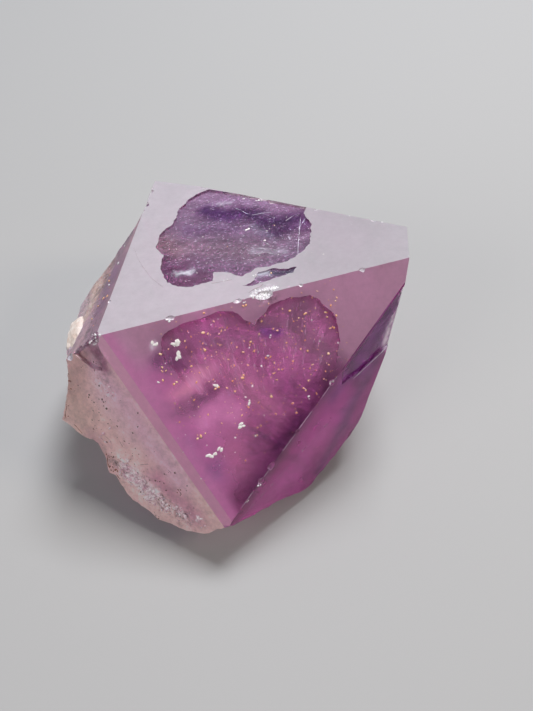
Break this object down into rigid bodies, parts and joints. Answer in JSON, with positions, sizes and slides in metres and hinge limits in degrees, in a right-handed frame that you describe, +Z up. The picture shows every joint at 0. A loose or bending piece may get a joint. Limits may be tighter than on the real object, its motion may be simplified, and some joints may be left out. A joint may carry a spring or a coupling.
{
  "type": "amethyst point",
  "caption": "Single thick amethyst crystal point with ground tip faces and etched windows, broken off its root and lying on the break.",
  "frame": {"origin": "centre of the bounding box at the ground the crystal rests on", "axes": "+Z up from the ground, +X the way the crystal's long axis and tip lean, +Y across it to the back"},
  "size_m": [0.0605, 0.0746, 0.036],
  "materials": {
    "amethyst": "purple see-through quartz, ground faces frosted, growth windows glossy, breaks rough and tan"
  },
  "bodies": {
    "root": {"amethyst_point": "amethyst"}
  },
  "joints": []
}
